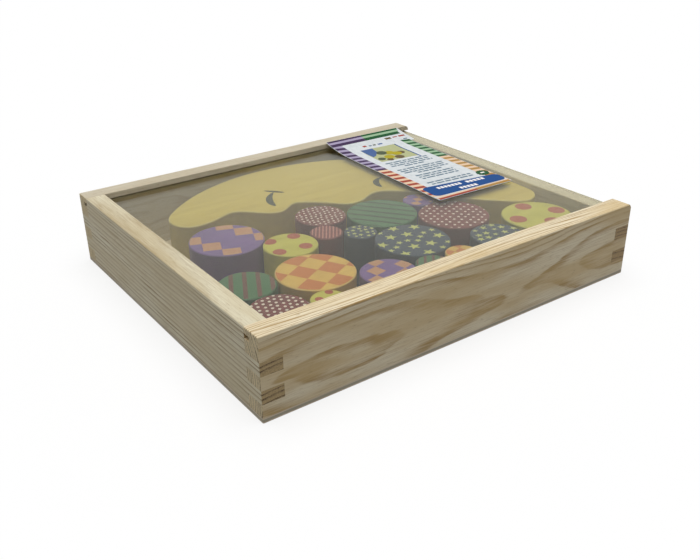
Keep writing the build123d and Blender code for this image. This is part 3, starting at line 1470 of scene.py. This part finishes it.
@dataclass
class BlockSet:
    """The eighteen blocks, each colour with motifs of its own. Sizes and places are in millimetres,
    and places are from the middle of a block."""

    dot: float = 0.95
    stripe_pitch: float = 8.0
    large_star: float = 4.4
    small_star: float = 2.6
    large_stars: tuple[Point, ...] = (
        (0.6, 21.0), (13.8, 14.8), (-9.4, 11.0), (2.3, 8.5), (-21.2, 4.8),
        (17.5, -5.2), (-6.2, -9.0), (5.6, -11.5), (-17.7, -14.3), (-4.4, -21.1),
    )
    small_stars: tuple[Point, ...] = (
        (12.5, 3.9), (20.0, 4.2), (-10.2, 1.0), (-3.8, 0.6), (6.8, 0.4), (1.6, -3.4),
        (-22.0, -5.2), (-16.0, -3.3), (7.5, -20.8), (15.6, -16.5), (-11.0, 20.4),
    )

    def blocks(self) -> tuple[Block, ...]:
        """The blocks, from the front left corner of the box."""
        return (
            Block(
                "red_dots_corner",
                Paint.RED,
                FineDots(pitch=4.1, size=self.dot, jitter=0.06, seed=1, turn=12.0),
                Ink.WHITE,
            ),
            Block(
                "green_medium",
                Paint.GREEN,
                Stripes(pitch=self.stripe_pitch, width=2.6, turn=62.7, shift=1.0),
                Ink.RUSSET,
            ),
            Block(
                "yellow_small",
                Paint.YELLOW,
                SpotsAt(((-4.8, 3.2), (4.4, 6.9), (5.6, -3.6), (-3.0, -6.6)), size=2.5),
                Ink.BRICK,
            ),
            Block(
                "orange_large",
                Paint.ORANGE,
                Checks(cell=12.9, turn=29.0, start=(-6.9, 3.3)),
                Ink.ORANGE,
            ),
            Block(
                "purple_medium",
                Paint.PURPLE,
                DiamondChains(square=8.4, between=17.4, stagger=3.3, turn=56.6, start=(-5.7, 5.2)),
                Ink.PEACH,
            ),
            Block(
                "green_small",
                Paint.GREEN,
                Stripes(pitch=5.0, width=1.7, turn=50.0),
                Ink.RUSSET,
            ),
            Block(
                "orange_small",
                Paint.ORANGE,
                Checks(cell=6.2, turn=20.0, start=(1.0, 2.0)),
                Ink.ORANGE,
            ),
            Block(
                "navy_medium",
                Paint.NAVY,
                FineStars(pitch=7.2, size=2.9, seed=5),
                Ink.STAR_YELLOW,
            ),
            Block(
                "yellow_large",
                Paint.YELLOW,
                SpotsAt(((3.5, 16.5), (-15.9, 2.7), (16.9, -1.9), (0.5, -13.5)), size=5.9),
                Ink.BRICK,
            ),
            Block(
                "navy_large",
                Paint.NAVY,
                StarsAt(
                    self.large_stars, self.small_stars, self.large_star, self.small_star, seed=7
                ),
                Ink.STAR_YELLOW,
            ),
            Block(
                "red_large",
                Paint.RED,
                FineDots(pitch=5.4, size=self.dot, jitter=0.08, seed=9, turn=20.0),
                Ink.WHITE,
            ),
            Block(
                "green_large",
                Paint.GREEN,
                Stripes(pitch=self.stripe_pitch, width=2.4, turn=-53.0),
                Ink.DARK_GREEN,
            ),
            Block(
                "purple_small",
                Paint.PURPLE,
                DiamondChains(square=5.6, between=12.0, stagger=2.0, turn=40.0, start=(0, 0)),
                Ink.PEACH,
            ),
            Block(
                "navy_small",
                Paint.NAVY,
                FineStars(pitch=4.8, size=1.9, seed=11),
                Ink.STAR_YELLOW,
            ),
            Block(
                "yellow_medium",
                Paint.YELLOW,
                SpotsAt(((-8.7, 11.3), (8.4, 9.6), (-11.8, -5.8), (6.4, -7.9)), size=4.4),
                Ink.BRICK,
            ),
            Block(
                "purple_large",
                Paint.PURPLE,
                DiamondChains(
                    square=11.6, between=29.8, stagger=2.2, turn=-67.0, start=(-12.8, -4.1)
                ),
                Ink.PEACH,
            ),
            Block(
                "red_small",
                Paint.RED,
                Stripes(pitch=2.3, width=0.8, turn=55.0),
                Ink.PALE_RED,
            ),
            Block(
                "red_medium",
                Paint.RED,
                FineDots(pitch=3.9, size=0.8, jitter=0.12, seed=13, turn=8.0),
                Ink.WHITE,
            ),
        )

    def build(self) -> list[bpy.types.Object]:
        """Builds and dresses every block."""
        return [piece for block in self.blocks() for piece in block.build()]


@dataclass(frozen=True)
class Lash:
    """One brush stroke of the rocker's sleepy eyes: its middle on the part in millimetres, its turn
    in degrees, and its shape as a stroke takes it."""

    middle: Point
    turn: float
    length: float
    width: float
    bow: float = 0.0
    lag: float = 1.0
    blunt: float = 0.5


@dataclass
class MoonRocker:
    """The crescent rocker with its two sleepy eyes."""

    lashes: tuple[Lash, ...] = (
        Lash(middle=(-23.0, 62.4), turn=40.6, length=15.8, width=3.2),
        Lash(middle=(-30.9, 49.4), turn=-28.5, length=27.7, width=5.2, bow=3.6, lag=1.4, blunt=0.4),
        Lash(middle=(53.3, 30.2), turn=-38.4, length=23.0, width=5.0, bow=4.4, lag=1.35, blunt=0.4),
    )

    def build(self) -> list[bpy.types.Object]:
        """Stains the rocker and prints its eyes on both faces.

        Returns:
            The rocker and its print.
        """
        moon = dress("moon_rocker", StainedLimewood("yellow_stained_limewood"))
        low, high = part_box("moon_rocker")
        middle = (low + high) / 2 / MM
        layer = PrintedLayer("moon_eyes")
        for face in both_faces("moon_rocker"):
            for lash in self.lashes:
                outline = stroke(lash.length, lash.width, lash.bow, lash.lag, lash.blunt)
                place = (lash.middle[0] - middle.x, lash.middle[1] - middle.y)
                layer.add(placed(outline, place, lash.turn), Ink.SLATE, face)
        return [moon, layer.finish("moon")]


@dataclass
class PineBox:
    """The finger-jointed pine frame on its thin plywood base. Each board's log is placed from the
    box's outer faces, in millimetres."""

    front_to_pith: float = 62.0
    back_to_pith: float = 30.0
    end_to_pith: float = 14.0

    def build(self) -> list[bpy.types.Object]:
        """Gives each board wood of its own, cut from a log beside it.

        Returns:
            The boards.
        """
        low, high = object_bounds()
        front, back, left, right = low.y / MM, high.y / MM, low.x / MM, high.x / MM
        base_low, base_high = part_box("base_board")
        boards = {
            "front_panel": PlanedPine(
                "front_pine",
                Grain.ALONG_X,
                pith_across=front + self.front_to_pith,
                pith_up=20.0,
                seed=3.0,
                figure=1.3,
                figure_at=30.0,
                figure_length=240.0,
                drift=-0.1,
                ring=1.9,
                contrast=1.1,
                warp=2.6,
                ripple=0.4,
                stain=0.75,
                earlywood="#F2E6C9",
                latewood="#AA8A56",
                blush="#D2B886",
                end_early="#DCCBA2",
                end_late="#5E4A32",
            ),
            "back_panel": PlanedPine(
                "back_pine",
                Grain.ALONG_X,
                pith_across=back + self.back_to_pith,
                pith_up=30.0,
                seed=13.0,
                earlywood="#CDC4AE",
                latewood="#B0A084",
                blush="#BFB297",
                end_early="#D2C198",
                end_late="#A08A60",
            ),
            "left_end_panel": PlanedPine(
                "left_pine",
                Grain.ALONG_Y,
                pith_across=left + self.end_to_pith,
                pith_up=-60.0,
                seed=23.0,
                figure=0.5,
                ring=3.3,
                contrast=1.1,
                warp=2.2,
                ripple=0.5,
                drift=0.2,
                lowest_line=0.5,
                earlywood="#DFD7BC",
                latewood="#9C865E",
                blush="#CDBF9C",
                end_early="#BFA67A",
                end_late="#4C3A24",
            ),
            "right_end_panel": PlanedPine(
                "right_pine",
                Grain.ALONG_Y,
                pith_across=right - self.end_to_pith,
                pith_up=-75.0,
                seed=33.0,
                figure=0.5,
                ring=3.3,
                warp=2.2,
                ripple=0.5,
                drift=0.2,
                earlywood="#EAE0CC",
                latewood="#C6B698",
                blush="#DCD0B8",
                end_early="#B2976C",
                end_late="#4A3622",
            ),
            "base_board": PoplarPlywood("base_plywood", base_high.z - base_low.z),
        }
        return [dress(node, finish) for node, finish in boards.items()]


@dataclass
class SlidingLid:
    """The clear sheet that slides in the panels' grooves."""

    def build(self) -> list[bpy.types.Object]:
        """Gives the sheet its clear finish."""
        return [dress("clear_lid", CastAcrylic("cast_acrylic"))]


@dataclass(frozen=True)
class Mark:
    """One printed shape on the card: its outline, its ink and the coat that it is printed in."""

    outline: Polygon
    ink: Ink
    coat: int = 1


@dataclass
class PrintedCard:
    """The card that lies on the lid with its back edge up on the back rim, printed with plain
    stripes, bars and spots. Places across it are millimetres from the middle of its body, and
    places down it are from its back edge."""

    body_width: float = 70.0
    margin: float = 0.3
    corner: float = 0.6
    strip: float = 3.0
    row_change: float = -0.5
    border: float = 8.7
    stripe_lean: float = 0.9
    left_start: float = 9.8
    left_pitch: float = 8.06
    right_start: float = 23.2
    right_pitch: float = 7.95
    stripe_change: float = 73.3
    stripes_end: float = 144.0
    front_change: float = 1.2
    front_height: float = 4.6
    red_height: float = 2.6
    ochre_height: float = 3.2
    row_pitch: float = 3.9
    bar_height: float = 1.9
    bar_gap: float = 1.1
    shortest_bar: float = 0.8
    row_slope: float = 0.05
    band_corner: float = 4.4
    band_slope: float = 0.07
    block_pitch: float = 3.2
    block_height: float = 3.6
    block_gap: float = 0.9
    block_lean: float = 0.1

    def build(self) -> list[bpy.types.Object]:
        """Dresses the card and prints it.

        Returns:
            The card and its print.
        """
        card = dress("label_card", CoatedBoard("coated_board"))
        face = BentFace("label_card", self.body_width)
        layer = PrintedLayer("card_print")
        marks = self._head_rows() + self._stripes(-1) + self._stripes(1) + self._front(face.length)
        marks += self._head_bars() + self._picture() + self._small_bars() + self._band()
        for mark in marks:
            outline = [(x, face.length - down) for x, down in mark.outline]
            for piece in sliced(outline, self.strip):
                layer.add(piece[::-1], mark.ink, face, mark.coat)
        return [card, layer.finish("card")]

    def _area(
        self, left: float, right: float, top: float, bottom: float, lean: float = 0.0
    ) -> Polygon:
        """An area between two places across the card and two down it, sloping down to the right."""
        upper = [(left, top - lean), (right, top + lean)]
        return upper + [(right, bottom + lean), (left, bottom - lean)]

    def _head_rows(self) -> list[Mark]:
        """The three rows of colour along the back edge, on the wider head of the card.

        Returns:
            The rows, each in two colours.
        """
        left, middle = self.margin - self.body_width / 2, self.row_change
        rows = (
            (self.margin, 2.9, 37.8, Ink.CARD_PURPLE, Ink.CARD_GREEN),
            (2.9, 6.1, 36.6, Ink.CARD_LILAC, Ink.CARD_MINT),
            (6.1, 10.4, 35.3, Ink.CARD_PURPLE, Ink.CARD_GREEN),
        )
        marks = []
        for top, bottom, right, left_ink, right_ink in rows:
            start = left + max(0.0, self.corner - top)
            marks.append(Mark(self._area(start, middle, top, bottom), left_ink, 2))
            marks.append(Mark(self._area(middle, right, top, bottom), right_ink, 2))
        return marks

    def _stripes(self, side: int) -> list[Mark]:
        """The striped border along one side.

        Args:
            side: -1 for the left side and 1 for the right one.

        Returns:
            The stripes, from the back to the front.
        """
        edge = side * (self.body_width / 2 - self.margin)
        inner = edge - side * self.border
        if side < 0:
            start, pitch = self.left_start, self.left_pitch
            inks = (Ink.CARD_LILAC, Ink.CARD_PURPLE, Ink.CARD_CREAM, Ink.CARD_RED)
        else:
            start, pitch = self.right_start, self.right_pitch
            inks = (Ink.CARD_GREEN, Ink.CARD_MINT, Ink.CARD_OCHRE, Ink.CARD_CREAM)
        left, right = sorted((edge, inner))
        marks = []
        for i in range(int((self.stripes_end - start) / pitch * 2)):
            top = start + i * pitch / 2
            late = top > self.stripe_change
            area = self._area(left, right, top, top + pitch / 2, self.stripe_lean)
            marks.append(Mark(area, inks[2 * late + i % 2]))
        return marks

    def _front(self, length: float) -> list[Mark]:
        """The bars along the front edge.

        Args:
            length: The card's length.

        Returns:
            The bars.
        """
        half, end = self.body_width / 2 - self.margin, length - self.margin
        middle = self.front_change
        red_top, ochre_top = end - self.red_height, end - self.ochre_height
        cream_top = end - self.front_height
        return [
            Mark(self._area(self.corner - half, middle, red_top, end), Ink.CARD_RED, 2),
            Mark(self._area(-half, middle, cream_top, red_top), Ink.CARD_CREAM, 2),
            Mark(self._area(middle, half - self.corner, ochre_top, end), Ink.CARD_OCHRE, 2),
            Mark(self._area(middle, half, cream_top, ochre_top), Ink.CARD_CREAM, 2),
        ]

    def _head_bars(self) -> list[Mark]:
        """A few plain bars between the rows of colour and the picture."""
        bars = (
            (-10.8, -7.6, 18.4, 21.2, Ink.CARD_RED),
            (-5.4, -2.8, 19.8, 21.8, Ink.CARD_TEXT),
            (-1.4, 1.4, 19.8, 21.8, Ink.CARD_MOSS),
            (3.4, 8.0, 20.2, 22.2, Ink.CARD_SKY),
            (15.8, 21.8, 13.0, 16.2, Ink.CARD_UMBER),
            (24.0, 28.6, 13.6, 15.2, Ink.CARD_RED),
            (30.0, 36.4, 13.4, 15.8, Ink.CARD_RED),
            (30.4, 34.4, 20.4, 22.2, Ink.CARD_TEXT),
        )
        return [Mark(self._area(*bar), ink) for *bar, ink in bars]

    def _picture(self) -> list[Mark]:
        """A plain picture of round shapes on two fields of colour.

        Returns:
            The fields, the line beside them and the round shapes.
        """
        field = [(-17.8, 26.0), (16.4, 27.2), (15.0, 61.0), (-19.0, 58.0)]
        sky = [(-17.8, 26.0), (-6.4, 26.5), (-7.4, 35.0), (-13.6, 42.6), (-17.8, 44.6)]
        line = [(15.6, 27.2), (16.8, 27.2), (16.4, 64.0), (15.2, 64.0)]
        spots = (
            ((-6.0, 39.4), 4.4, Ink.CARD_MOSS, 4),
            ((-0.4, 42.6), 4.4, Ink.CARD_LEMON, 3),
            ((4.0, 47.0), 4.2, Ink.CARD_LEMON, 4),
            ((-6.4, 51.0), 4.4, Ink.CARD_LEMON, 3),
            ((-14.6, 52.0), 3.2, Ink.CARD_MOSS, 3),
            ((-9.4, 56.6), 2.8, Ink.CARD_UMBER, 2),
            ((0.6, 55.4), 4.0, Ink.CARD_UMBER, 2),
            ((8.4, 46.6), 3.4, Ink.CARD_UMBER, 2),
        )
        marks = [
            Mark(field, Ink.CARD_OLIVE),
            Mark(sky, Ink.CARD_SKY, 2),
            Mark(line, Ink.CARD_BLUE, 2),
        ]
        for place, size, ink, coat in spots:
            marks.append(Mark(placed(round_dot(size), place), ink, coat))
        return marks

    def _small_bars(self) -> list[Mark]:
        """Rows of small bars in four centred groups, the fourth row of a group half as long.

        Returns:
            The bars.
        """
        groups = ((64.0, 4, 21.0), (82.0, 4, 22.5), (99.5, 3, 19.5), (117.0, 2, 22.0))
        row_shares = (1.0, 0.97, 0.94, 0.5)
        marks = []
        draw = random.Random(17)
        for top, rows, reach in groups:
            for row in range(rows):
                half = reach * row_shares[row] * draw.uniform(0.88, 1.0)
                x = -half
                while x < half:
                    bar = min(draw.uniform(2.4, 7.5), half - x)
                    if bar > self.shortest_bar:
                        down = top + self.row_pitch * row + self.row_slope * x
                        lean = self.row_slope * bar / 2
                        area = self._area(x, x + bar, down, down + self.bar_height, lean)
                        marks.append(Mark(area, Ink.CARD_TEXT))
                    x += bar + self.bar_gap
        return marks

    def _band(self) -> list[Mark]:
        """The blue band with rows of white blocks, and a scalloped spot above its right end.

        Returns:
            The band, the spot and the blocks.
        """
        band = [(-32.0, 123.0), (35.0, 130.8), (34.6, 143.6), (-32.6, 142.4)]
        spot = placed(star(5.4, points=14, waist=0.88), (28.4, 123.4))
        marks = [
            Mark(with_round_corners(band, self.band_corner), Ink.CARD_BLUE, 3),
            Mark(spot, Ink.CARD_GREEN, 4),
            Mark(self._area(26.4, 30.2, 122.4, 124.2), Ink.WHITE, 5),
        ]
        half = self.block_height / 2
        for down, start, end in ((131.4, -21.5, 0.5), (131.4, 4.5, 21.5), (139.4, -7.4, 8.7)):
            count = round((end - start) / self.block_pitch)
            step = (end - start) / count
            for i in range(count):
                left = start + i * step
                right = left + step - self.block_gap
                middle = down + self.band_slope * left
                area = self._area(left, right, middle - half, middle + half, self.block_lean)
                marks.append(Mark(area, Ink.WHITE, 4))
        return marks


@dataclass
class Studio:
    """The floor, the surroundings, the lamp and the camera. Angles are in degrees, the lens and the
    sensor in millimetres, and the rest in metres or as shares of full light."""

    floor_size: float = 8.0
    floor_gap: float = 0.0001
    shadow_share: float = 0.25
    floor_bounce: float = 0.22
    sky: float = 0.3
    lamp_spread: float = 60.0
    lamp_strength: float = 2.2
    camera_place: tuple[float, float, float] = (-0.3113, -0.4327, 0.2585)
    azimuth: float = -35.78
    elevation: float = 26.91
    roll: float = -0.66
    lens: float = 41.904
    sensor: float = 36.0
    white: str = "#FFFFFF"

    def build(self) -> None:
        """Sets up everything that isn't the object."""
        self._floor()
        self._world()
        self._lamp()
        self._camera()
        bpy.context.scene.view_settings.view_transform = "Standard"

    def _seen_directly(self, tree: bpy.types.NodeTree) -> bpy.types.NodeSocket:
        """Tells what the camera sees, also mirrored or through the lid, from what lights a piece.

        Args:
            tree: The node tree to add to.

        Returns:
            1 for what the camera sees and 0 for light.
        """
        ray = add_node(tree, "ShaderNodeLightPath").node.outputs
        seen = add_node(
            tree,
            "ShaderNodeMath",
            {0: ray["Is Camera Ray"], 1: ray["Is Glossy Ray"]},
            operation="MAXIMUM",
        )
        return add_node(
            tree, "ShaderNodeMath", {0: seen, 1: ray["Is Transmission Ray"]}, operation="MAXIMUM"
        )

    def _floor(self) -> None:
        """Makes a pale floor that looks white and keeps a faint shadow."""
        half = self.floor_size / 2
        mesh = bmesh.new()
        corners = [(-half, -half), (half, -half), (half, half), (-half, half)]
        mesh.faces.new([mesh.verts.new((x, y, -self.floor_gap)) for x, y in corners])
        data = bpy.data.meshes.new("floor")
        mesh.to_mesh(data)
        mesh.free()
        material, tree = new_material("pale_floor")
        white = linear(self.white)
        glow = add_node(tree, "ShaderNodeEmission", {"Color": white, "Strength": 1.0})
        matt = add_node(tree, "ShaderNodeBsdfDiffuse", {"Color": white})
        seen = add_node(tree, "ShaderNodeMixShader", {0: self.shadow_share, 1: glow, 2: matt})
        grey = (self.floor_bounce, self.floor_bounce, self.floor_bounce, 1.0)
        lighting = add_node(tree, "ShaderNodeBsdfDiffuse", {"Color": grey})
        surface = add_node(
            tree, "ShaderNodeMixShader", {0: self._seen_directly(tree), 1: lighting, 2: seen}
        )
        add_node(tree, "ShaderNodeOutputMaterial", {"Surface": surface})
        data.materials.append(material)
        floor = bpy.data.objects.new("floor", data)
        bpy.context.scene.collection.objects.link(floor)
        floor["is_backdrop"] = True

    def _world(self) -> None:
        """Makes surroundings that look white and light the object with a dim even sky."""
        world = bpy.data.worlds.new("studio")
        bpy.context.scene.world = world
        world.use_nodes = True
        tree = world.node_tree
        tree.nodes.clear()
        white = linear(self.white)
        sky = add_node(tree, "ShaderNodeBackground", {"Color": white, "Strength": self.sky})
        seen = add_node(tree, "ShaderNodeBackground", {"Color": white, "Strength": 1.0})
        surface = add_node(
            tree, "ShaderNodeMixShader", {0: self._seen_directly(tree), 1: sky, 2: seen}
        )
        add_node(tree, "ShaderNodeOutputWorld", {"Surface": surface})

    def _lamp(self) -> None:
        """Shines one wide, soft lamp straight down, so far off that the floor is lit evenly."""
        data = bpy.data.lights.new("soft_lamp", "SUN")
        data.angle = math.radians(self.lamp_spread)
        data.energy = self.lamp_strength
        lamp = bpy.data.objects.new("soft_lamp", data)
        lamp.visible_glossy = False
        bpy.context.scene.collection.objects.link(lamp)

    def _camera(self) -> None:
        """Stands the camera where the photograph was taken from."""
        data = bpy.data.cameras.new("camera")
        data.sensor_width = self.sensor
        data.lens = self.lens
        camera = bpy.data.objects.new("camera", data)
        azimuth, elevation = math.radians(self.azimuth), math.radians(self.elevation)
        roll = math.radians(self.roll)
        back = Vector(
            (
                math.sin(azimuth) * math.cos(elevation),
                -math.cos(azimuth) * math.cos(elevation),
                math.sin(elevation),
            )
        )
        right = Vector((0, 0, 1)).cross(back).normalized()
        up = back.cross(right)
        rolled_right = math.cos(roll) * right + math.sin(roll) * up
        rolled_up = -math.sin(roll) * right + math.cos(roll) * up
        turn = Matrix((rolled_right, rolled_up, back)).transposed().to_4x4()
        camera.matrix_world = Matrix.Translation(self.camera_place) @ turn
        bpy.context.scene.collection.objects.link(camera)
        bpy.context.scene.camera = camera


def write_sizes() -> None:
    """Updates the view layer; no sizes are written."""
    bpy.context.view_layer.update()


def main() -> None:
    """Builds and dresses each sub-assembly in order, then the studio around it."""
    logging.basicConfig(level=logging.INFO, format="%(message)s")
    for assembly in (PineBox(), SlidingLid(), PrintedCard(), MoonRocker(), BlockSet()):
        for piece in assembly.build():
            faces = len(piece.data.polygons)
            log.info("%s: %s, %d faces", type(assembly).__name__, piece.name, faces)
    Studio().build()
    write_sizes()


if __name__ == "__main__":
    main()
